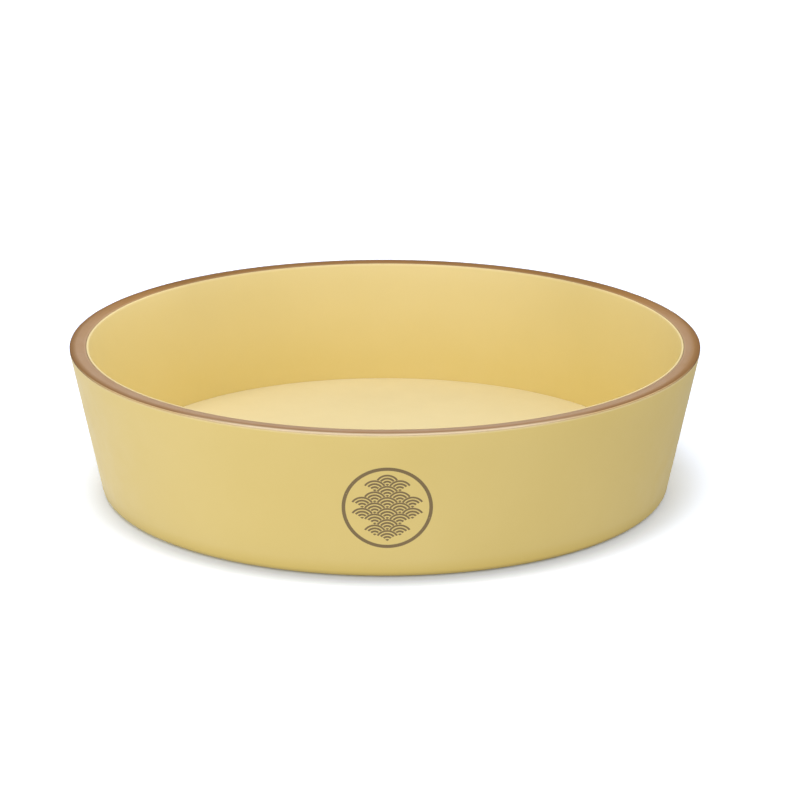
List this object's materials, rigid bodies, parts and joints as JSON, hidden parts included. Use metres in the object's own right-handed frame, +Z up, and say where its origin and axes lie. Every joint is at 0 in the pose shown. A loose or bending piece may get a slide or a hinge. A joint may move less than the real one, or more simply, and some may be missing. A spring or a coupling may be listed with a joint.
{
  "type": "sushi rice tub",
  "caption": "Wide, low round tub with leaning double walls, a crowned brown rim ring and a flat floor, for cooling and mixing sushi rice.",
  "frame": {"origin": "centre of the tub's base on the table, at the level of its foot", "axes": "+Z up along the tub's axis; the tub is round, so X and Y are level and free to choose, with -Y towards the viewer of the picture"},
  "size_m": [0.5996, 0.5996, 0.1426],
  "materials": {
    "outer_skin": "satin moulded cream plastic",
    "inner_skin": "satin moulded cream plastic",
    "floor": "satin cream plastic sheet",
    "rim": "satin brown plastic",
    "foam": "matt rigid foam"
  },
  "bodies": {
    "root": {"outer_shell": "outer_skin", "base_core": "foam", "wall_core": "foam", "rim_ring": "rim", "inner_liner": "inner_skin", "floor_panel": "floor"}
  },
  "joints": []
}
